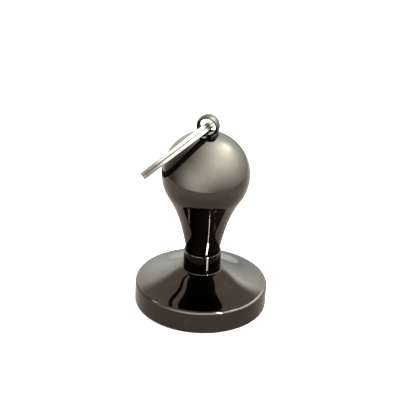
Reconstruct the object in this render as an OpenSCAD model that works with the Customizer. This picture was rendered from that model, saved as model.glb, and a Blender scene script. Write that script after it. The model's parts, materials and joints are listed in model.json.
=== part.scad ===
// Key fob in the shape of an espresso tamper: a turned base, a collar and a bulb handle
// drawn together by a hidden stud, with a screwed-in ball eye that carries a split key ring.
// Millimetres, +Z up, origin on the underside of the base at its centre.

/* [Base] */
// Diameter of the base across its rim
base_d = 31.5; // [30:0.5:36]
// Height of the rim, where the dome starts
rim_h = 5.7; // [5:0.1:6.2]
// Radius on the rim's upper edge
rim_round = 0.8; // [0.4:0.1:1.2]
// Radius on the rim's lower edge
foot_round = 0.35; // [0.2:0.05:0.6]
// Diameter of the boss that carries the collar
boss_d = 10; // [9.6:0.1:11]
// Height of the boss above the table
boss_h = 9.4; // [9:0.1:10]
// Rise of the dome as it leaves the rim, in degrees
dome_rise = 9.5; // [6:0.5:13]
// Lean of the flare below the boss, in degrees from upright
flare_lean = 78; // [72:0.5:80]

/* [Collar] */
// Outside diameter of the collar
collar_d = 8.8; // [8.6:0.1:9.4]
// Length of the collar along the axis
collar_len = 4.4; // [4:0.1:5]
// Radius on the small visible edges at the collar
edge_round = 0.15; // [0.1:0.05:0.2]

/* [Handle] */
// Diameter of the handle where it meets the collar
neck_d = 7.9; // [7.6:0.1:8.3]
// Radius of the ball-shaped top of the handle
bulb_r = 10.25; // [9.8:0.05:10.8]
// Height of the bulb's centre above the table
bulb_z = 33.3; // [32.5:0.1:34]
// Lean of the neck above the collar, in degrees from upright
neck_lean = 12.4; // [8:0.1:16]
// Angle below the bulb's equator at which the neck joins it
neck_join = 31; // [28:0.1:35]

/* [Connecting stud] */
// Thread diameter of the stud that joins base, collar and handle
stud_d = 4; // [3:0.5:5]
// Length of the stud
stud_len = 16; // [14:1:18]
// Size across the flats of the hexagon socket in the stud's top
stud_key = 2; // [1.5:0.1:2.2]

/* [Ball eye] */
// Diameter of the ball
ball_d = 5.4; // [5:0.1:6]
// Height of the ball's centre above the table
ball_z = 45.3; // [45:0.1:45.5]
// Diameter of the cross hole for the ring
eye_d = 3.8; // [3.6:0.1:3.9]
// Radius that rounds the two mouths of the cross hole
eye_round = 0.6; // [0.5:0.1:0.7]
// Turn of the cross hole about the upright axis, in degrees
eye_yaw = 12; // [12:1:20]
// Diameter of the foot below the ball
eye_foot_d = 4.9; // [4.6:0.1:5]
// Thread diameter of the eye's shank
shank_d = 2.5; // [2:0.5:3]
// Length of the eye's shank
shank_len = 6; // [4:0.5:8]

/* [Key ring] */
// Outside diameter of the split ring
ring_d = 21.5; // [18:0.5:22]
// Width of the flat wire across the ring
wire_w = 1.6; // [1.4:0.1:1.7]
// Thickness of one turn of the wire
wire_t = 0.9; // [0.7:0.05:0.9]
// Lean of the resting ring below level, in degrees
ring_lean = 45; // [30:1:47]
// Turn of the ring's swing axis about the upright axis, in degrees
ring_yaw = 25; // [16:1:25]
// Distance by which the wire hangs below the centre of the hole
ring_drop = 0.2; // [0.1:0.05:0.25]
// Place of the wire's two ends around the ring, in degrees from the eye
ends_at = 105; // [-150:5:150]

/* [Hidden] */
$fn = 96;
fit_gap = 0.03;                       // radial room between a screw and its bore
stud_room = 0.2;                      // radial room between the stud and the collar
bore_spare = 0.5;                     // depth left beyond the end of a screw
thread_lead = 0.3;                    // chamfer on the end of a screw
wire_edge = 0.18;                     // chamfer on the wire's corners
turn_groove = 0.14;                   // depth and width of the groove between the two turns
gap_half = 6;                         // half of the angle between the wire's ends
dome_pull = 4.4;                      // how far the dome follows its rise from the rim
flare_pull = 3;                       // how far the flare follows its lean from the boss
neck_pull = 5.3;                      // how far the neck follows its lean from the collar
join_pull = 6.1;                      // how far the neck follows the bulb's slope where they join
seat_margin = 0.18;                   // flat left around the eye's foot
foot_blend = 1;                       // depth below the ball's centre at which the foot meets it
shank_root = 0.2;                     // overlap of the shank with the foot
mouth_blend = 0.72;                   // share of the mouth's radius that lies on the ball
cut = 1;                              // overshoot of cutting tools

base_r = base_d / 2;
boss_r = boss_d / 2;
neck_r = neck_d / 2;
neck_z = boss_h + collar_len;
stud_z = neck_z - collar_len / 2 - stud_len / 2;
foot_r = eye_foot_d / 2;
seat_r = foot_r + seat_margin;
seat_z = bulb_z + sqrt(pow(bulb_r, 2) - pow(seat_r, 2));
shank_z = seat_z - shank_len;
ring_mid_r = (ring_d - wire_w) / 2;
hinge_z = ball_z - ring_drop;

function lean(a) = [sin(a), cos(a)];
function arc(centre, r, from, to, n) =
    [for (i = [0:n]) let (a = from + (to - from) * i / n) centre + r * [cos(a), sin(a)]];
function bezier(a, b, c, d, n) =
    [for (i = [1:n - 1]) let (t = i / n, s = 1 - t)
        a * pow(s, 3) + 3 * b * t * pow(s, 2) + 3 * c * pow(t, 2) * s + d * pow(t, 3)];

// A screw along +Z from the origin, with its lower end chamfered
module screw(d, len) {
    cylinder(d1 = d - 2 * thread_lead, d2 = d, h = thread_lead);
    translate([0, 0, thread_lead]) cylinder(d = d, h = len - thread_lead);
}

// The rounded mouth of a hole of radius r, opening towards +Z
module mouth(r, round) {
    rotate_extrude()
        polygon(concat([[0, -round]], arc([r + round, -round], round, 180, 90, 12), [[0, 0]]));
}

// The base's half outline, from the centre of its underside round to the boss
module base_outline() {
    rim_end = arc([base_r - rim_round, rim_h - rim_round], rim_round, 0, 90 - dome_rise, 10);
    dome_start = rim_end[len(rim_end) - 1];
    boss_edge = [boss_r, boss_h - edge_round];
    polygon(concat(
        [[0, 0]],
        arc([base_r - foot_round, foot_round], foot_round, -90, 0, 8),
        rim_end,
        bezier(dome_start, dome_start + dome_pull * [-cos(dome_rise), sin(dome_rise)],
            boss_edge + flare_pull * [sin(flare_lean), -cos(flare_lean)], boss_edge, 28),
        arc(boss_edge - [edge_round, 0], edge_round, 0, 90, 5),
        [[0, boss_h]]));
}

module base() {
    color([0.20, 0.19, 0.18]) difference() {
        rotate_extrude() base_outline();
        translate([0, 0, stud_z - bore_spare])
            cylinder(r = stud_d / 2 + fit_gap, h = boss_h - stud_z + bore_spare + cut);
    }
}

module collar() {
    wall = collar_d / 2;
    color([0.05, 0.05, 0.05]) translate([0, 0, boss_h]) difference() {
        rotate_extrude() polygon(concat(
            [[0, 0]],
            arc([wall - edge_round, edge_round], edge_round, -90, 0, 5),
            arc([wall - edge_round, collar_len - edge_round], edge_round, 0, 90, 5),
            [[0, collar_len]]));
        translate([0, 0, -cut]) cylinder(r = stud_d / 2 + stud_room, h = collar_len + 2 * cut);
    }
}

// The handle's half outline: neck, bulb and the flat seat for the eye
module handle_outline() {
    neck_start = [neck_r, neck_z + edge_round];
    join = [0, bulb_z] + bulb_r * [cos(neck_join), -sin(neck_join)];
    seat_angle = atan2(seat_z - bulb_z, seat_r);
    polygon(concat(
        [[0, neck_z]],
        arc([neck_r - edge_round, neck_z + edge_round], edge_round, -90, 0, 5),
        bezier(neck_start, neck_start + neck_pull * lean(neck_lean),
            join - join_pull * lean(neck_join), join, 28),
        arc([0, bulb_z], bulb_r, -neck_join, seat_angle, 48),
        [[0, seat_z]]));
}

module handle() {
    color([0.24, 0.23, 0.22]) difference() {
        rotate_extrude() handle_outline();
        translate([0, 0, neck_z - cut])
            cylinder(r = stud_d / 2 + fit_gap, h = stud_z + stud_len + bore_spare - neck_z + cut);
        translate([0, 0, shank_z - bore_spare])
            cylinder(r = shank_d / 2 + fit_gap, h = shank_len + bore_spare + cut);
    }
}

module connecting_stud() {
    color([0.45, 0.45, 0.47]) translate([0, 0, stud_z]) difference() {
        union() {
            screw(stud_d, stud_len - thread_lead);
            translate([0, 0, stud_len - thread_lead])
                cylinder(d1 = stud_d, d2 = stud_d - 2 * thread_lead, h = thread_lead);
        }
        translate([0, 0, stud_len - stud_key])
            cylinder(d = stud_key / cos(30), h = stud_key + cut, $fn = 6);
    }
}

// The eye's half outline above its seat: a short foot that runs up into the ball
module eye_outline() {
    intersection() {
        union() {
            translate([0, ball_z]) circle(d = ball_d);
            translate([0, seat_z]) square([foot_r, ball_z - seat_z - foot_blend]);
        }
        translate([0, seat_z]) square(2 * ball_d);
    }
}

module ball_eye() {
    mouth_at = sqrt(pow(ball_d / 2, 2) - pow(eye_d / 2 + eye_round * mouth_blend, 2));
    color([0.22, 0.21, 0.20]) difference() {
        union() {
            rotate_extrude() eye_outline();
            translate([0, 0, shank_z]) screw(shank_d, shank_len + shank_root);
        }
        translate([0, 0, ball_z]) rotate([0, 0, -eye_yaw]) {
            rotate([90, 0, 0]) cylinder(d = eye_d, h = ball_d + 2 * cut, center = true);
            for (side = [-90, 90])
                rotate([side, 0, 0]) translate([0, 0, mouth_at]) mouth(eye_d / 2, eye_round);
        }
    }
}

// Half outline of the two stacked turns, with the groove where they meet
module turns_section() {
    w = wire_w / 2;
    w_in = w - wire_edge;
    t = wire_t;
    g = turn_groove / 2;
    translate([ring_mid_r, 0]) polygon([
        [w, t - wire_edge], [w_in, t], [-w_in, t], [-w, t - wire_edge],
        [-w, g], [-w + turn_groove, 0], [-w, -g],
        [-w, wire_edge - t], [-w_in, -t], [w_in, -t], [w, wire_edge - t],
        [w, -g], [w - turn_groove, 0], [w, g]]);
}

// The wedge of space left beside the wire where it crosses from one turn to the other
module crossing_gap() {
    run = ring_mid_r * tan(gap_half);
    translate([ring_mid_r - wire_w, 0, 0]) rotate([90, 0, 90]) linear_extrude(2 * wire_w)
        polygon([[-run, 0], [run, wire_t], [run, wire_t + cut], [-run, wire_t + cut]]);
}

module split_ring() {
    color([0.86, 0.84, 0.79])
        translate([0, 0, hinge_z]) rotate([0, -ring_lean, -ring_yaw])
            translate([-ring_mid_r, 0, 0]) rotate([0, 0, ends_at]) difference() {
                rotate_extrude() turns_section();
                crossing_gap();
                rotate([180, 0, 0]) crossing_gap();
            }
}

base();
collar();
handle();
connecting_stud();
ball_eye();
split_ring();
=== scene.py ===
"""Looks of the tamper-shaped key fob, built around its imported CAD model. Metres, +Z up."""
import json
import math

import bmesh
import bpy
import numpy as np
from mathutils import Matrix, Vector


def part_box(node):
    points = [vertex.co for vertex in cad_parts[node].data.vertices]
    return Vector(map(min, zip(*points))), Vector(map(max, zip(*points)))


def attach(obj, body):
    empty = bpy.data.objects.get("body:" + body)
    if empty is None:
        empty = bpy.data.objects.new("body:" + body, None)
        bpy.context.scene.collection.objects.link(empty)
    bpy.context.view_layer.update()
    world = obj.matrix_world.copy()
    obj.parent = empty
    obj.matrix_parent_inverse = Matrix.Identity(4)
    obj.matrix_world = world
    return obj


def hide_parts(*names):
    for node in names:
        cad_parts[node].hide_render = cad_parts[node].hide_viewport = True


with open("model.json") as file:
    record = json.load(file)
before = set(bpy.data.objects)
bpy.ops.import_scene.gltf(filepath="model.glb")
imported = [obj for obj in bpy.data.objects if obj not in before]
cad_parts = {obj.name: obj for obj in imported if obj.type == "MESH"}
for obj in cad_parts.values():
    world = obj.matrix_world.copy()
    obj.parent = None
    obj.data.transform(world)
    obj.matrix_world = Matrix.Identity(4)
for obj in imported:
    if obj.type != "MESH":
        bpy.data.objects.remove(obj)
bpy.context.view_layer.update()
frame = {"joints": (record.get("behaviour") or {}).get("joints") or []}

MM = 0.001

# ---------------------------------------------------------------- sizes, from the frame
BASE_LOW, BASE_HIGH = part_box("base")
COLLAR_LOW, COLLAR_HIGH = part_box("collar")
HANDLE_LOW, HANDLE_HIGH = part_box("handle")
STUD_LOW, STUD_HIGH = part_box("connecting_stud")
EYE_LOW, EYE_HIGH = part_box("ball_eye")
SWING = frame["joints"][0]

BASE_R = BASE_HIGH.x
BOSS_Z = BASE_HIGH.z
BOSS_R = 5.0 * MM
RIM_Z = 5.7 * MM
RIM_ROUND = 0.8 * MM
FOOT_ROUND = 0.35 * MM
CLOSE_UP = 0.002 * MM
EDGE_ROUND = 0.15 * MM
DOME_RISE = math.radians(9.5)
DOME_PULL = 4.4 * MM
FLARE_LEAN = math.radians(78)
FLARE_PULL = 3.0 * MM

COLLAR_R = COLLAR_HIGH.x
NECK_Z = COLLAR_HIGH.z
NECK_R = 3.95 * MM
NECK_LEAN = math.radians(12.4)
NECK_PULL = 5.3 * MM
JOIN_ANGLE = math.radians(31)
JOIN_PULL = 6.1 * MM
BULB_R = HANDLE_HIGH.x
BULB_Z = 33.3 * MM
SEAT_Z = HANDLE_HIGH.z

STUD_R = STUD_HIGH.x
STUD_PITCH = 0.7 * MM
STUD_KEY = 2.0 * MM
SCREW_ROOM = 0.03 * MM
STUD_ROOM = 0.2 * MM
BORE_SPARE = 0.5 * MM

BALL_R = EYE_HIGH.x
BALL_Z = EYE_HIGH.z - BALL_R
HOLE_R = 1.9 * MM
HOLE_ROUND = 0.6 * MM
HOLE_YAW = math.radians(12)
EYE_FOOT_R = 2.45 * MM
FOOT_BLEND = 1.0 * MM
SHANK_R = 1.25 * MM
SHANK_PITCH = 0.45 * MM

RING_R = 9.95 * MM
WIRE_W = 1.6 * MM
WIRE_T = 0.9 * MM
RING_LEAN = math.radians(45)
WIRE_ENDS = math.radians(105)
CROSS_HALF = math.radians(6)
END_GAP = math.radians(0.8)

LATHE_STEPS = 256


# ---------------------------------------------------------------- camera
def aim_camera():
    """The camera looks slightly down on the fob from the front, a little tilted."""
    elevation = math.radians(26.721)
    roll = math.radians(2.604)
    distance = 269.5 * MM
    target = Vector((0, 0, 23.97 * MM))
    back = Vector((0, -math.cos(elevation), math.sin(elevation)))
    turn = back.to_track_quat("Z", "Y").to_matrix() @ Matrix.Rotation(roll, 3, "Z")
    data = bpy.data.cameras.new("camera")
    data.lens = 99.98
    data.sensor_width = 36.0
    data.shift_x = 0.0088
    data.shift_y = 0.0053
    data.clip_start = 0.01
    data.clip_end = 20.0
    camera = bpy.data.objects.new("camera", data)
    bpy.context.scene.collection.objects.link(camera)
    camera.matrix_world = Matrix.Translation(target + distance * back) @ turn.to_4x4()
    bpy.context.scene.camera = camera


aim_camera()


# ---------------------------------------------------------------- mesh helpers
def new_piece(name, verts, faces, sharp=35):
    """A mesh object at the origin, smooth except at edges sharper than the given degrees."""
    mesh = bpy.data.meshes.new(name)
    mesh.from_pydata([tuple(v) for v in verts], [], faces)
    mesh.validate()
    obj = bpy.data.objects.new(name, mesh)
    bpy.context.scene.collection.objects.link(obj)
    smooth(obj, sharp)
    return obj


def smooth(obj, sharp=35):
    """Smooth shading, with edges sharper than the given degrees kept crisp."""
    obj.data.shade_smooth()
    obj.data.set_sharp_from_angle(angle=math.radians(sharp))


def arc(centre, radius, start, end, count):
    """Points along an arc in the outline plane; angles in degrees from the outward radius."""
    angles = np.radians(np.linspace(start, end, count + 1))
    return [(centre[0] + radius * math.cos(a), centre[1] + radius * math.sin(a)) for a in angles]


def bezier(a, b, c, d, count):
    """Inner points of a cubic curve between a and d."""
    a, b, c, d = (np.array(p) for p in (a, b, c, d))
    out = []
    for t in np.linspace(0, 1, count + 1)[1:-1]:
        s = 1 - t
        out.append(tuple(a * s**3 + 3 * b * t * s**2 + 3 * c * t**2 * s + d * t**3))
    return out


def line(a, b, count):
    """Points from a to b, both ends included."""
    return [tuple(p) for p in np.linspace(a, b, count + 1)]


def lathe(name, outline, steps=LATHE_STEPS, sharp=35):
    """Turns an outline of (radius, height) points about the upright axis.

    The outline runs so that the metal is on its left; it either starts and ends on the axis
    or is a closed loop away from it."""
    points = [outline[0]]
    for p in outline[1:]:
        if math.dist(p, points[-1]) > 1e-7:
            points.append(p)
    on_axis = points[0][0] < 1e-9
    if not on_axis and math.dist(points[0], points[-1]) < 1e-7:
        points.pop()
    verts = []
    rows = []
    angles = np.linspace(0, 2 * math.pi, steps, endpoint=False)
    for radius, height in points:
        if radius < 1e-9:
            rows.append([len(verts)])
            verts.append((0, 0, height))
        else:
            rows.append(list(range(len(verts), len(verts) + steps)))
            verts.extend((radius * math.cos(a), radius * math.sin(a), height) for a in angles)
    faces = []
    pairs = list(zip(rows, rows[1:]))
    if not on_axis:
        pairs.append((rows[-1], rows[0]))
    for low, high in pairs:
        for i in range(steps):
            j = (i + 1) % steps
            if len(low) == 1:
                faces.append((low[0], high[j], high[i]))
            elif len(high) == 1:
                faces.append((low[i], low[j], high[0]))
            else:
                faces.append((low[i], low[j], high[j], high[i]))
    return new_piece(name, verts, faces, sharp)


def boolean(obj, tool, operation):
    """Joins or cuts obj with tool, removes the tool, and closes up hair-thin faces."""
    modifier = obj.modifiers.new("boolean", "BOOLEAN")
    modifier.operation = operation
    modifier.solver = "EXACT"
    modifier.object = tool
    bake(obj)
    bpy.data.objects.remove(tool)
    work = bmesh.new()
    work.from_mesh(obj.data)
    bmesh.ops.triangulate(work, faces=work.faces)
    bmesh.ops.remove_doubles(work, verts=work.verts, dist=CLOSE_UP)
    bmesh.ops.dissolve_degenerate(work, edges=work.edges, dist=CLOSE_UP)
    work.to_mesh(obj.data)
    work.free()


def bake(obj):
    """Turns what the modifiers make into the object's plain mesh."""
    bpy.context.view_layer.update()
    evaluated = obj.evaluated_get(bpy.context.evaluated_depsgraph_get())
    mesh = bpy.data.meshes.new_from_object(evaluated)
    mesh.name = obj.name
    obj.modifiers.clear()
    obj.data = mesh


# ---------------------------------------------------------------- geometry nodes
def new_tree(name, sizes):
    """An empty geometry tree with one named number input for each (name, value)."""
    tree = bpy.data.node_groups.new(name, "GeometryNodeTree")
    tree.interface.new_socket("Geometry", in_out="INPUT", socket_type="NodeSocketGeometry")
    for label, value in sizes:
        socket = tree.interface.new_socket(label, in_out="INPUT", socket_type="NodeSocketFloat")
        socket.default_value = value
    tree.interface.new_socket("Material", in_out="INPUT", socket_type="NodeSocketMaterial")
    tree.interface.new_socket("Geometry", in_out="OUTPUT", socket_type="NodeSocketGeometry")
    return tree


class Wires:
    """Short ways to add and link nodes in one tree."""

    def __init__(self, tree):
        self.tree = tree

    def add(self, kind, **settings):
        node = self.tree.nodes.new(kind)
        for key, value in settings.items():
            setattr(node, key, value)
        return node

    def link(self, source, target):
        self.tree.links.new(source, target)

    def put(self, value, socket):
        """Links a socket, or sets a plain value."""
        if isinstance(value, bpy.types.NodeSocket):
            self.link(value, socket)
        else:
            socket.default_value = value

    def math(self, operation, a, b=0.0, c=None):
        node = self.add(self.math_kind(), operation=operation)
        self.put(a, node.inputs[0])
        self.put(b, node.inputs[1])
        if c is not None:
            self.put(c, node.inputs[2])
        return node.outputs[0]

    def math_kind(self):
        return "ShaderNodeMath"

    def vector(self, operation, a, b=None, out="Vector"):
        node = self.add("ShaderNodeVectorMath", operation=operation)
        self.put(a, node.inputs[0])
        if b is not None:
            self.put(b, node.inputs[1])
        return node.outputs[out]

    def split(self, vector):
        node = self.add("ShaderNodeSeparateXYZ")
        self.link(vector, node.inputs[0])
        return node.outputs

    def combine(self, x, y, z):
        node = self.add("ShaderNodeCombineXYZ")
        for value, socket in zip((x, y, z), node.inputs):
            self.put(value, socket)
        return node.outputs[0]

    def ramp(self, value, low, high, to_low=0.0, to_high=1.0):
        """A smooth step of value from low to high."""
        node = self.add("ShaderNodeMapRange", interpolation_type="SMOOTHSTEP")
        for number, socket in zip((value, low, high, to_low, to_high), node.inputs):
            self.put(number, socket)
        return node.outputs[0]


def finish_tree(wires, geometry, material):
    """Ends a geometry tree in Realize Instances and Set Material."""
    realize = wires.add("GeometryNodeRealizeInstances")
    paint = wires.add("GeometryNodeSetMaterial")
    out = wires.add("NodeGroupOutput")
    wires.link(geometry, realize.inputs[0])
    wires.link(realize.outputs[0], paint.inputs["Geometry"])
    wires.link(material, paint.inputs["Material"])
    wires.link(paint.outputs[0], out.inputs[0])


def grow(name, tree, material, **sizes):
    """Makes a piece from a geometry tree with the given sizes."""
    obj = bpy.data.objects.new(name, bpy.data.meshes.new(name))
    bpy.context.scene.collection.objects.link(obj)
    modifier = obj.modifiers.new(tree.name, "NODES")
    modifier.node_group = tree
    for socket in tree.interface.items_tree:
        if socket.item_type != "SOCKET" or socket.in_out != "INPUT":
            continue
        if socket.name == "Material":
            modifier[socket.identifier] = material
        elif socket.name in sizes:
            modifier[socket.identifier] = float(sizes[socket.name])
    bake(obj)
    return obj


def thread_tree():
    """A closed threaded rod along +Z from the origin, with its ends run down to the root."""
    tree = new_tree("screw thread", [("Radius", 0.002), ("Length", 0.01), ("Pitch", 0.0007),
                                     ("Depth", 0.0004), ("Rings", 200.0)])
    w = Wires(tree)
    given = w.add("NodeGroupInput").outputs
    rod = w.add("GeometryNodeMeshCylinder", fill_type="NGON")
    rod.inputs["Vertices"].default_value = 48
    w.link(given["Rings"], rod.inputs["Side Segments"])
    w.link(given["Radius"], rod.inputs["Radius"])
    w.link(given["Length"], rod.inputs["Depth"])
    x, y, z = w.split(w.add("GeometryNodeInputPosition").outputs[0])
    height = w.math("ADD", z, w.math("MULTIPLY", given["Length"], 0.5))
    turn = w.math("DIVIDE", w.math("ARCTAN2", y, x), 2 * math.pi)
    phase = w.math("FRACT", w.math("SUBTRACT", w.math("DIVIDE", height, given["Pitch"]), turn))
    ridge = w.math("ABSOLUTE", w.math("SUBTRACT", w.math("MULTIPLY", phase, 2), 1))
    crest = w.ramp(ridge, 0.12, 0.88)
    crest.node.interpolation_type = "LINEAR"
    start = w.ramp(height, 0, given["Pitch"])
    end = w.ramp(w.math("SUBTRACT", given["Length"], height), 0, given["Pitch"])
    depth = w.math("MULTIPLY", given["Depth"],
                   w.math("SUBTRACT", 1, w.math("MULTIPLY", crest, w.math("MULTIPLY", start, end))))
    scale = w.math("DIVIDE", w.math("SUBTRACT", given["Radius"], depth), given["Radius"])
    place = w.combine(w.math("MULTIPLY", x, scale), w.math("MULTIPLY", y, scale), height)
    moved = w.add("GeometryNodeSetPosition")
    w.link(rod.outputs["Mesh"], moved.inputs["Geometry"])
    w.link(place, moved.inputs["Position"])
    finish_tree(w, moved.outputs[0], given["Material"])
    return tree


def coil_tree():
    """A flat wire wound twice round a circle, crossing from the lower turn to the upper one."""
    tree = new_tree("wound wire", [("Radius", 0.0092), ("Width", 0.0016), ("Thickness", 0.0009),
                                   ("Edge", 0.0002), ("Crossing", 0.1), ("End", 0.12)])
    w = Wires(tree)
    given = w.add("NodeGroupInput").outputs
    steps = 480
    path = w.add("GeometryNodeMeshLine")
    path.inputs["Count"].default_value = steps + 1
    share = w.math("DIVIDE", w.add("GeometryNodeInputIndex").outputs[0], steps)
    whole = w.math("SUBTRACT", 4 * math.pi, w.math("MULTIPLY", given["End"], 2))
    angle = w.math("ADD", given["End"], w.math("MULTIPLY", share, whole))
    past = w.math("SUBTRACT", angle, 2 * math.pi)
    rise = w.ramp(past, w.math("MULTIPLY", given["Crossing"], -1), given["Crossing"], -0.5, 0.5)
    rise.node.interpolation_type = "LINEAR"
    place = w.combine(w.math("MULTIPLY", given["Radius"], w.math("COSINE", angle)),
                      w.math("MULTIPLY", given["Radius"], w.math("SINE", angle)),
                      w.math("MULTIPLY", given["Thickness"], rise))
    moved = w.add("GeometryNodeSetPosition")
    w.link(path.outputs[0], moved.inputs["Geometry"])
    w.link(place, moved.inputs["Position"])
    curve = w.add("GeometryNodeMeshToCurve")
    w.link(moved.outputs[0], curve.inputs["Mesh"])
    upright = w.add("GeometryNodeSetCurveNormal", mode="Z_UP")
    w.link(curve.outputs[0], upright.inputs["Curve"])
    section = w.add("GeometryNodeCurvePrimitiveQuadrilateral")
    w.link(given["Width"], section.inputs["Width"])
    w.link(given["Thickness"], section.inputs["Height"])
    rounded = w.add("GeometryNodeFilletCurve", mode="POLY")
    rounded.inputs["Count"].default_value = 4
    w.link(given["Edge"], rounded.inputs["Radius"])
    w.link(section.outputs[0], rounded.inputs["Curve"])
    swept = w.add("GeometryNodeCurveToMesh")
    w.link(upright.outputs[0], swept.inputs["Curve"])
    w.link(rounded.outputs[0], swept.inputs["Profile Curve"])
    swept.inputs["Fill Caps"].default_value = True
    finish_tree(w, swept.outputs[0], given["Material"])
    return tree


# ---------------------------------------------------------------- shared surface effects
def new_group(name, numbers, outputs):
    """An empty shader group with a Vector input, number inputs and the given outputs."""
    group = bpy.data.node_groups.new(name, "ShaderNodeTree")
    group.interface.new_socket("Vector", in_out="INPUT", socket_type="NodeSocketVector")
    for label, value in numbers:
        socket = group.interface.new_socket(label, in_out="INPUT", socket_type="NodeSocketFloat")
        socket.default_value = value
    for label in outputs:
        group.interface.new_socket(label, in_out="OUTPUT", socket_type="NodeSocketFloat")
    w = Wires(group)
    given = w.add("NodeGroupInput").outputs
    out = w.add("NodeGroupOutput").inputs
    return group, w, given, out


def noise(w, vector, scale, detail=2.0, roughness=0.5):
    node = w.add("ShaderNodeTexNoise")
    w.link(vector, node.inputs["Vector"])
    w.put(scale, node.inputs["Scale"])
    node.inputs["Detail"].default_value = detail
    node.inputs["Roughness"].default_value = roughness
    return node.outputs["Fac"]


def turning_lines_group():
    """Fine rings left by the lathe and the polishing wheel, round the upright axis."""
    group, w, given, out = new_group("turning lines", [("Spacing", 0.0002)], ["Height", "Mask"])
    x, y, z = w.split(given["Vector"])
    radius = w.math("SQRT", w.math("ADD", w.math("MULTIPLY", x, x), w.math("MULTIPLY", y, y)))
    across = w.combine(w.math("DIVIDE", radius, given["Spacing"]), 0.0,
                       w.math("DIVIDE", z, given["Spacing"]))
    rings = noise(w, across, 1.0, 4.0, 0.6)
    patch = noise(w, given["Vector"], 160.0, 2.0)
    w.link(rings, out["Height"])
    w.link(w.math("MULTIPLY", w.ramp(rings, 0.5, 0.75), w.ramp(patch, 0.35, 0.7)), out["Mask"])
    return group


def handling_marks_group():
    """Smudges from fingers and hairline scratches."""
    group, w, given, out = new_group("handling marks", [("Size", 0.004)],
                                     ["Haze", "Scratches", "Waviness"])
    local = w.vector("SCALE", given["Vector"])
    w.link(w.math("DIVIDE", 1.0, given["Size"]), local.node.inputs["Scale"])
    smudge = noise(w, local, 1.1, 5.0, 0.62)
    w.link(w.ramp(smudge, 0.48, 0.72), out["Haze"])
    lines = 0.0
    for turn, stretch in (((0.3, 0.2, 0.9), 26), ((1.2, 0.7, 2.1), 34), ((2.2, 1.4, 0.4), 30)):
        mapping = w.add("ShaderNodeMapping")
        mapping.inputs["Rotation"].default_value = turn
        mapping.inputs["Scale"].default_value = (1.0, stretch, 2.5)
        w.link(local, mapping.inputs["Vector"])
        streak = noise(w, mapping.outputs[0], 1.0, 2.0)
        thin = w.ramp(w.math("ABSOLUTE", w.math("SUBTRACT", streak, 0.5)), 0.0, 0.008, 1.0, 0.0)
        gate = w.ramp(noise(w, mapping.outputs[0], 0.35, 1.0), 0.56, 0.66)
        lines = w.math("MAXIMUM", w.math("MULTIPLY", thin, gate), lines)
    w.link(lines, out["Scratches"])
    w.link(noise(w, local, 0.5, 1.0), out["Waviness"])
    return group


def edge_wear_group():
    """Brighter metal along one turned edge, given by its radius and height."""
    group, w, given, out = new_group(
        "edge wear", [("Edge Radius", 0.0157), ("Edge Height", 0.0055), ("Width", 0.0003)], ["Mask"])
    x, y, z = w.split(given["Vector"])
    radius = w.math("SQRT", w.math("ADD", w.math("MULTIPLY", x, x), w.math("MULTIPLY", y, y)))
    out_by = w.math("SUBTRACT", radius, given["Edge Radius"])
    up_by = w.math("SUBTRACT", z, given["Edge Height"])
    away = w.math("SQRT", w.math("ADD", w.math("MULTIPLY", out_by, out_by),
                                 w.math("MULTIPLY", up_by, up_by)))
    near = w.ramp(w.math("DIVIDE", away, given["Width"]), 0.3, 1.6, 1.0, 0.0)
    broken = w.ramp(noise(w, given["Vector"], 900.0, 4.0, 0.7), 0.42, 0.66)
    w.link(w.math("MULTIPLY", near, broken), out["Mask"])
    return group


TURNING = turning_lines_group()
HANDLING = handling_marks_group()
WEAR = edge_wear_group()


# ---------------------------------------------------------------- materials
class Finish(Wires):
    """A metal built up from a Principled shader and the shared effects."""

    def __init__(self, name, roughness):
        self.material = bpy.data.materials.new(name)
        self.material.use_nodes = True
        super().__init__(self.material.node_tree)
        self.tree.nodes.clear()
        self.shader = self.add("ShaderNodeBsdfPrincipled")
        self.shader.inputs["Metallic"].default_value = 1.0
        self.shader.inputs["Roughness"].default_value = roughness
        output = self.add("ShaderNodeOutputMaterial")
        self.link(self.shader.outputs[0], output.inputs["Surface"])
        self.place = self.add("ShaderNodeTexCoord").outputs["Object"]

    def effect(self, group, **values):
        node = self.add("ShaderNodeGroup")
        node.node_tree = group
        self.link(self.place, node.inputs["Vector"])
        for label, value in values.items():
            node.inputs[label.replace("_", " ")].default_value = value
        return node.outputs

    def mix(self, mask, a, b):
        """Blends two colours by a mask."""
        node = self.add("ShaderNodeMix", data_type="RGBA")
        self.put(mask, node.inputs["Factor"])
        for value, socket in ((a, node.inputs[6]), (b, node.inputs[7])):
            if isinstance(value, bpy.types.NodeSocket):
                self.link(value, socket)
            else:
                socket.default_value = (*value, 1.0)
        return node.outputs[2]

    def colour(self, socket):
        self.link(socket, self.shader.inputs["Base Color"])

    def roughness(self, socket):
        self.link(socket, self.shader.inputs["Roughness"])

    def bumps(self, layers):
        """Stacks (height, depth in metres) layers into the shader's normal."""
        normal = None
        for height, depth in layers:
            bump = self.add("ShaderNodeBump")
            bump.inputs["Strength"].default_value = 1.0
            bump.inputs["Distance"].default_value = depth
            self.link(height, bump.inputs["Height"])
            if normal is not None:
                self.link(normal, bump.inputs["Normal"])
            normal = bump.outputs["Normal"]
        self.link(normal, self.shader.inputs["Normal"])


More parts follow.
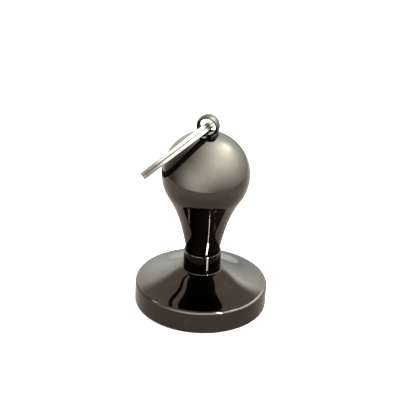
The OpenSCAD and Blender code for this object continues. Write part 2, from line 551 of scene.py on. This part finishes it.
def black_nickel(name, tint, edge):
    """Dark mirror plating: faint lathe rings, smudges, hairlines and one worn edge."""
    m = Finish(name, 0.03)
    rings = m.effect(TURNING, Spacing=0.00022)
    marks = m.effect(HANDLING, Size=0.0042)
    wear = m.effect(WEAR, Edge_Radius=edge[0], Edge_Height=edge[1], Width=0.00035)
    cloudy = m.mix(marks["Haze"], tint, tuple(c * 1.18 for c in tint))
    scratched = m.mix(m.math("MULTIPLY", marks["Scratches"], 0.35), cloudy,
                      tuple(c * 2.4 for c in tint))
    m.colour(m.mix(m.math("MULTIPLY", wear["Mask"], 0.55), scratched, (0.34, 0.31, 0.28)))
    soft = m.math("MULTIPLY_ADD", marks["Haze"], 0.05, 0.025)
    soft = m.math("MULTIPLY_ADD", rings["Mask"], 0.05, soft)
    soft = m.math("MULTIPLY_ADD", marks["Scratches"], 0.10, soft)
    m.roughness(m.math("MULTIPLY_ADD", wear["Mask"], 0.15, soft))
    m.bumps([(marks["Waviness"], 6e-6), (rings["Height"], 1.2e-7), (marks["Scratches"], -2e-7)])
    return m.material


def ring_nickel():
    """Bright plated spring steel, drawn and lightly rubbed."""
    m = Finish("ring nickel", 0.2)
    marks = m.effect(HANDLING, Size=0.0016)
    grain = noise(m, m.place, 2600.0, 4.0, 0.65)
    tone = m.mix(m.ramp(noise(m, m.place, 420.0, 3.0), 0.35, 0.7),
                 (0.27, 0.255, 0.232), (0.33, 0.311, 0.283))
    m.colour(m.mix(m.math("MULTIPLY", marks["Scratches"], 0.5), tone, (0.20, 0.19, 0.175)))
    soft = m.math("MULTIPLY_ADD", marks["Haze"], 0.12, 0.30)
    m.roughness(m.math("MULTIPLY_ADD", grain, 0.10, soft))
    m.bumps([(marks["Waviness"], 8e-6), (grain, 1.5e-6), (marks["Scratches"], -1e-6)])
    return m.material


def stud_steel():
    """Plain zinc-plated steel with rolled-thread texture."""
    m = Finish("stud steel", 0.35)
    marks = m.effect(HANDLING, Size=0.002)
    grain = noise(m, m.place, 1800.0, 5.0, 0.7)
    m.colour(m.mix(m.ramp(grain, 0.35, 0.7), (0.40, 0.40, 0.42), (0.56, 0.56, 0.57)))
    m.roughness(m.math("MULTIPLY_ADD", marks["Haze"], 0.15, 0.28))
    m.bumps([(grain, 3e-6), (marks["Scratches"], -1e-6)])
    return m.material


PLATING = (0.066, 0.057, 0.050)
BASE_FINISH = black_nickel("base black nickel", PLATING, (BASE_R - 0.2 * MM, 0.15 * MM))
HANDLE_FINISH = black_nickel("handle black nickel", PLATING, (NECK_R, NECK_Z))
EYE_FINISH = black_nickel("eye black nickel", (0.055, 0.049, 0.044), (EYE_FOOT_R, SEAT_Z))
COLLAR_FINISH = black_nickel("collar black nickel", (0.012, 0.011, 0.010), (COLLAR_R, NECK_Z))
RING_FINISH = ring_nickel()
STUD_FINISH = stud_steel()


def paint(obj, material):
    obj.data.materials.clear()
    obj.data.materials.append(material)


def place_piece(obj, body, node):
    """Rides the piece on its body in place of one CAD node."""
    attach(obj, body)
    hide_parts(node)


# ---------------------------------------------------------------- pieces
def make_base():
    """Rim, dome and flare, with the blind bore for the stud."""
    rim = arc((BASE_R - RIM_ROUND, RIM_Z - RIM_ROUND), RIM_ROUND, 0,
              90 - math.degrees(DOME_RISE), 24)
    dome = rim[-1]
    boss = (BOSS_R, BOSS_Z - EDGE_ROUND)
    bore_r = STUD_R + SCREW_ROOM
    bore_z = STUD_LOW.z - BORE_SPARE
    outline = (
        line((0, 0), (BASE_R - FOOT_ROUND, 0), 14)
        + arc((BASE_R - FOOT_ROUND, FOOT_ROUND), FOOT_ROUND, -90, 0, 12)
        + line((BASE_R, FOOT_ROUND), (BASE_R, RIM_Z - RIM_ROUND), 8)
        + rim
        + bezier(dome, (dome[0] - DOME_PULL * math.cos(DOME_RISE),
                        dome[1] + DOME_PULL * math.sin(DOME_RISE)),
                 (boss[0] + FLARE_PULL * math.sin(FLARE_LEAN),
                  boss[1] - FLARE_PULL * math.cos(FLARE_LEAN)), boss, 72)
        + arc((BOSS_R - EDGE_ROUND, BOSS_Z - EDGE_ROUND), EDGE_ROUND, 0, 90, 10)
        + line((BOSS_R - EDGE_ROUND, BOSS_Z), (bore_r, BOSS_Z), 4)
        + line((bore_r, BOSS_Z), (bore_r, bore_z), 6)
        + line((bore_r, bore_z), (0, bore_z), 3))
    base = lathe("tamper_base", outline)
    paint(base, BASE_FINISH)
    place_piece(base, "tamper", "base")
    return base


def make_collar():
    """A short sleeve with rounded edges and a clearance bore."""
    inner = STUD_R + STUD_ROOM
    low, high = COLLAR_LOW.z, COLLAR_HIGH.z
    outline = (
        line((inner, low), (COLLAR_R - EDGE_ROUND, low), 4)
        + arc((COLLAR_R - EDGE_ROUND, low + EDGE_ROUND), EDGE_ROUND, -90, 0, 10)
        + line((COLLAR_R, low + EDGE_ROUND), (COLLAR_R, high - EDGE_ROUND), 12)
        + arc((COLLAR_R - EDGE_ROUND, high - EDGE_ROUND), EDGE_ROUND, 0, 90, 10)
        + line((COLLAR_R - EDGE_ROUND, high), (inner, high), 4)
        + line((inner, high), (inner, low), 8))
    collar = lathe("neck_collar", outline)
    paint(collar, COLLAR_FINISH)
    place_piece(collar, "tamper", "collar")
    return collar


def make_handle():
    """Neck and bulb, with the stud's bore below and the eye's bore above."""
    start = (NECK_R, NECK_Z + EDGE_ROUND)
    join = (BULB_R * math.cos(JOIN_ANGLE), BULB_Z - BULB_R * math.sin(JOIN_ANGLE))
    seat_r = math.sqrt(BULB_R**2 - (SEAT_Z - BULB_Z)**2)
    seat_angle = math.degrees(math.atan2(SEAT_Z - BULB_Z, seat_r))
    stud_bore = STUD_R + SCREW_ROOM
    stud_top = STUD_HIGH.z + BORE_SPARE
    shank_bore = SHANK_R + SCREW_ROOM
    shank_end = EYE_LOW.z - BORE_SPARE
    outline = (
        line((0, stud_top), (stud_bore, stud_top), 3)
        + line((stud_bore, stud_top), (stud_bore, NECK_Z), 8)
        + line((stud_bore, NECK_Z), (NECK_R - EDGE_ROUND, NECK_Z), 4)
        + arc((NECK_R - EDGE_ROUND, NECK_Z + EDGE_ROUND), EDGE_ROUND, -90, 0, 10)
        + bezier(start, (start[0] + NECK_PULL * math.sin(NECK_LEAN),
                         start[1] + NECK_PULL * math.cos(NECK_LEAN)),
                 (join[0] - JOIN_PULL * math.sin(JOIN_ANGLE),
                  join[1] - JOIN_PULL * math.cos(JOIN_ANGLE)), join, 80)
        + arc((0, BULB_Z), BULB_R, -math.degrees(JOIN_ANGLE), seat_angle, 120)
        + line((seat_r, SEAT_Z), (shank_bore, SEAT_Z), 4)
        + line((shank_bore, SEAT_Z), (shank_bore, shank_end), 8)
        + line((shank_bore, shank_end), (0, shank_end), 3))
    handle = lathe("bulb_handle", outline)
    paint(handle, HANDLE_FINISH)
    place_piece(handle, "tamper", "handle")
    return handle


def make_stud(tree):
    """The hidden threaded stud with a hexagon socket in its top."""
    length = STUD_HIGH.z - STUD_LOW.z
    stud = grow("threaded_stud", tree, STUD_FINISH, Radius=STUD_R, Length=length,
                Pitch=STUD_PITCH, Depth=0.55 * STUD_PITCH, Rings=length / STUD_PITCH * 12)
    stud.data.transform(Matrix.Translation((0, 0, STUD_LOW.z)))
    corner = STUD_KEY / 2 / math.cos(math.radians(30))
    socket = [(corner, STUD_HIGH.z - STUD_KEY), (corner, STUD_HIGH.z + STUD_KEY)]
    tool = lathe("socket_tool", [(0, socket[0][1])] + socket + [(0, socket[1][1])], steps=6)
    boolean(stud, tool, "DIFFERENCE")
    smooth(stud, 30)
    paint(stud, STUD_FINISH)
    place_piece(stud, "tamper", "connecting_stud")


def make_ball_eye(tree):
    """Ball with a round-mouthed cross hole, on a short foot with a threaded shank."""
    foot_top = BALL_Z - math.sqrt(BALL_R**2 - EYE_FOOT_R**2)
    foot_angle = math.degrees(math.atan2(foot_top - BALL_Z, EYE_FOOT_R))
    outline = (
        line((0, SEAT_Z), (EYE_FOOT_R, SEAT_Z), 6)
        + line((EYE_FOOT_R, SEAT_Z), (EYE_FOOT_R, foot_top), 10)
        + arc((0, BALL_Z), BALL_R, foot_angle, 90, 96))
    eye = lathe("ball_eye_screw", outline, steps=192)
    mouth_at = math.sqrt(BALL_R**2 - (HOLE_R + 0.72 * HOLE_ROUND)**2)
    reach = BALL_R + 1.0 * MM
    flare = arc((HOLE_R + HOLE_ROUND, mouth_at - HOLE_ROUND), HOLE_ROUND, 180, 90, 16)
    half = line((HOLE_R, 0), (HOLE_R, mouth_at - HOLE_ROUND), 8) + flare
    half += [(HOLE_R + HOLE_ROUND, reach), (0, reach)]
    mirrored = [(r, -z) for r, z in reversed(half)]
    tool = lathe("hole_tool", mirrored + half, steps=160)
    turn = Matrix.Rotation(-HOLE_YAW, 4, "Z") @ Matrix.Rotation(math.radians(90), 4, "X")
    tool.data.transform(Matrix.Translation((0, 0, BALL_Z)) @ turn)
    boolean(eye, tool, "DIFFERENCE")
    length = SEAT_Z - EYE_LOW.z + 0.2 * MM
    shank = grow("shank", tree, EYE_FINISH, Radius=SHANK_R, Length=length, Pitch=SHANK_PITCH,
                 Depth=0.55 * SHANK_PITCH, Rings=length / SHANK_PITCH * 12)
    shank.data.transform(Matrix.Translation((0, 0, EYE_LOW.z)))
    boolean(eye, shank, "UNION")
    smooth(eye, 32)
    paint(eye, EYE_FINISH)
    place_piece(eye, "tamper", "ball_eye")


def make_split_ring(tree):
    """The two-turn key ring, leaning on the handle's left shoulder."""
    ring = grow("split_key_ring", tree, RING_FINISH, Radius=RING_R, Width=WIRE_W,
                Thickness=WIRE_T, Edge=0.2 * MM, Crossing=CROSS_HALF, End=CROSS_HALF + END_GAP)
    axis = Vector(SWING["axis"])
    yaw = math.atan2(axis.x, axis.y)
    ring.data.transform(
        Matrix.Translation(Vector(SWING["pos_m"]))
        @ Matrix.Rotation(-yaw, 4, "Z") @ Matrix.Rotation(-RING_LEAN, 4, "Y")
        @ Matrix.Translation((-RING_R, 0, 0)) @ Matrix.Rotation(WIRE_ENDS, 4, "Z"))
    smooth(ring, 40)
    paint(ring, RING_FINISH)
    place_piece(ring, "key_ring", "split_ring")


thread = thread_tree()
base_piece = make_base()
collar_piece = make_collar()
handle_piece = make_handle()
make_stud(thread)
make_ball_eye(thread)
make_split_ring(coil_tree())


# ---------------------------------------------------------------- stage and light
def make_floor():
    """A white card under the fob, larger than anything that the camera sees of it. Reflections see a
    glowing floor with a painted shadow instead: darker and browner near and in front of the base,
    and dimmer in later reflections.
    """
    side, front, rear, set_back = 0.122, 0.108, 0.900, 0.024
    verts = [(side * math.cos(a), set_back + (rear if a < math.pi else front) * math.sin(a),
              -0.02 * MM) for a in np.linspace(0, 2 * math.pi, 240, endpoint=False)]
    floor = new_piece("floor", verts, [tuple(range(len(verts)))])
    material = bpy.data.materials.new("white card")
    material.use_nodes = True
    w = Wires(material.node_tree)
    w.tree.nodes.clear()
    path = w.add("ShaderNodeLightPath").outputs
    seen = w.add("ShaderNodeBsdfDiffuse")
    seen.inputs["Color"].default_value = (0.66, 0.66, 0.66, 1)
    # Painted reflection of the floor with a painted shadow round the base; only reflected rays see
    # this glow.
    mirrored = w.add("ShaderNodeEmission")
    place = w.add("ShaderNodeTexCoord").outputs["Object"]
    away = w.vector("LENGTH", place, out="Value")
    # Painted shadow: the reflected floor is darker close to the base.
    near = w.ramp(away, 0.014, 0.070, 0.66, 1.12)
    # Painted shade: the reflected floor is browner in front of the base and paler behind it.
    behind = w.ramp(w.split(place)[1], 0.018, 0.080)
    tone = w.add("ShaderNodeMix", data_type="RGBA")
    w.link(behind, tone.inputs["Factor"])
    tone.inputs[6].default_value = (1.0, 0.885, 0.775, 1)
    tone.inputs[7].default_value = (0.95, 0.98, 0.90, 1)
    w.link(tone.outputs[2], mirrored.inputs["Color"])
    lit = w.math("MULTIPLY_ADD", behind, 0.05, near)
    # Painted shade: the reflected floor is dimmer in second and later reflections.
    later = w.ramp(path["Ray Depth"], 1.4, 1.6, 1.0, 0.18)
    w.link(w.math("MULTIPLY", lit, later), mirrored.inputs["Strength"])
    choice = w.add("ShaderNodeMixShader")
    w.link(path["Is Camera Ray"], choice.inputs[0])
    w.link(mirrored.outputs[0], choice.inputs[1])
    w.link(seen.outputs[0], choice.inputs[2])
    from_below = w.math("MULTIPLY", w.add("ShaderNodeNewGeometry").outputs["Backfacing"],
                        path["Is Camera Ray"])
    opening = w.add("ShaderNodeMixShader")
    w.link(from_below, opening.inputs[0])
    w.link(choice.outputs[0], opening.inputs[1])
    w.link(w.add("ShaderNodeBsdfTransparent").outputs[0], opening.inputs[2])
    output = w.add("ShaderNodeOutputMaterial")
    w.link(opening.outputs[0], output.inputs["Surface"])
    paint(floor, material)


def make_flag():
    """A dark level ring round the bulb, seen from below only, that tones down the dome's front: a
    painted reflection of shade, glowing brown and hidden from the camera.
    """
    inner, outer, level = BULB_R + 0.1 * MM, 0.050, BULB_Z
    steps = 96
    angles = np.linspace(0, 2 * math.pi, steps, endpoint=False)
    verts = [(r * math.cos(a), r * math.sin(a), level) for r in (inner, outer) for a in angles]
    faces = [(i, (i + 1) % steps, steps + (i + 1) % steps, steps + i) for i in range(steps)]
    flag = new_piece("flag", verts, faces)
    material = bpy.data.materials.new("painted shade flag")
    material.use_nodes = True
    w = Wires(material.node_tree)
    w.tree.nodes.clear()
    x, y, z = w.split(w.add("ShaderNodeTexCoord").outputs["Object"])
    away = w.math("SQRT", w.math("ADD", w.math("MULTIPLY", x, x), w.math("MULTIPLY", y, y)))
    shade = w.ramp(away, 0.032, 0.048, 1.0, 0.0)
    below = w.math("LESS_THAN", w.split(w.add("ShaderNodeNewGeometry").outputs["Incoming"])[2], 0.0)
    # Painted shade: a dim brown glow that the dome reflects in place of the bright tent.
    glow = w.add("ShaderNodeEmission")
    glow.inputs["Color"].default_value = (1.0, 0.88, 0.77, 1)
    w.link(w.ramp(w.add("ShaderNodeLightPath").outputs["Ray Depth"], 1.4, 1.6, 0.9, 0.12),
           glow.inputs["Strength"])
    clear = w.add("ShaderNodeBsdfTransparent")
    choice = w.add("ShaderNodeMixShader")
    w.link(w.math("MULTIPLY", shade, below), choice.inputs[0])
    w.link(clear.outputs[0], choice.inputs[1])
    w.link(glow.outputs[0], choice.inputs[2])
    output = w.add("ShaderNodeOutputMaterial")
    w.link(choice.outputs[0], output.inputs["Surface"])
    paint(flag, material)
    flag.visible_camera = False
    flag.visible_diffuse = False
    flag.visible_shadow = False


def make_lamp(name, place, toward, size, power, lit, shadows=True):
    """A small plain area lamp that lights only the given pieces; sizes in millimetres."""
    data = bpy.data.lights.new(name, "AREA")
    data.shape = "RECTANGLE"
    data.size = size[0] * MM
    data.size_y = size[1] * MM
    data.energy = power
    data.use_shadow = shadows
    lamp = bpy.data.objects.new(name, data)
    bpy.context.scene.collection.objects.link(lamp)
    place = Vector(place) * MM
    back = place - Vector(toward) * MM
    lamp.matrix_world = Matrix.Translation(place) @ back.to_track_quat("Z", "Y").to_matrix().to_4x4()
    lamp.visible_camera = False
    receivers = bpy.data.collections.new(name + " receivers")
    for obj in lit:
        receivers.objects.link(obj)
    lamp.light_linking.receiver_collection = receivers


def around(radius, bearing, height):
    """A point at a bearing to the right of the front, in millimetres."""
    turn = math.radians(bearing)
    return (radius * math.sin(turn), -radius * math.cos(turn), height)


def make_lamps(base, collar, handle):
    """Narrow lamps that draw the bright lines on the turned edges."""
    make_lamp("strip lamp", around(130, 33, 110), around(0, 0, 110), (5, 170), 0.7, [base])
    make_lamp("left edge lamp", (-110, -8, 98), (0, 0, 6), (16, 60), 0.035, [base])
    make_lamp("right edge lamp", around(130, 62, 100), (0, 0, 6), (30, 14), 0.02, [base])
    near = around(7.3, 23.5, 9.6)
    make_lamp("neck line lamp", near, (near[0] - math.sin(math.radians(33.4)),
                                       near[1] + math.cos(math.radians(33.4)), near[2]),
              (0.8, 9), 0.0011, [collar, handle], shadows=False)


def make_world():
    """A soft white tent: even light all round, with a few broad brighter patches."""
    world = bpy.data.worlds.new("light tent")
    bpy.context.scene.world = world
    world.use_nodes = True
    w = Wires(world.node_tree)
    w.tree.nodes.clear()
    heading = w.vector("NORMALIZE", w.add("ShaderNodeTexCoord").outputs["Generated"])
    total = 0.35
    lamps = [
        ((0.633, -0.112, 0.766), 1.5, 5.8),
        ((0.557, 0.321, 0.766), 12.0, 7.3),
        ((0.560, 0.450, 0.690), 90.0, 6.0),
        ((-0.341, -0.936, 0.087), 3.0, 4.4),
        ((0.321, 0.883, 0.342), 12.0, 0.5),
        ((-0.450, 0.800, 0.400), 8.0, 2.6),
        ((0.557, -0.321, 0.766), 6.0, 2.65),
    ]
    for toward, tightness, strength in lamps:
        direction = Vector(toward).normalized()
        aligned = w.vector("DOT_PRODUCT", heading, tuple(direction), out="Value")
        lobe = w.math("POWER", w.math("MAXIMUM", aligned, 0.0), tightness)
        total = w.math("MULTIPLY_ADD", lobe, strength, total)
    path = w.add("ShaderNodeLightPath").outputs
    later = w.ramp(path["Ray Depth"], 2.4, 2.6, 1.0, 0.12)
    background = w.add("ShaderNodeBackground")
    background.inputs["Color"].default_value = (0.95, 1.0, 0.93, 1)
    shown = w.math("MAXIMUM", w.math("MULTIPLY", total, later),
                   w.math("MULTIPLY", path["Is Camera Ray"], 1.2))
    w.link(shown, background.inputs["Strength"])
    output = w.add("ShaderNodeOutputWorld")
    w.link(background.outputs[0], output.inputs["Surface"])


make_floor()
make_flag()
make_lamps(base_piece, collar_piece, handle_piece)
make_world()
bpy.context.scene.view_settings.view_transform = "Standard"
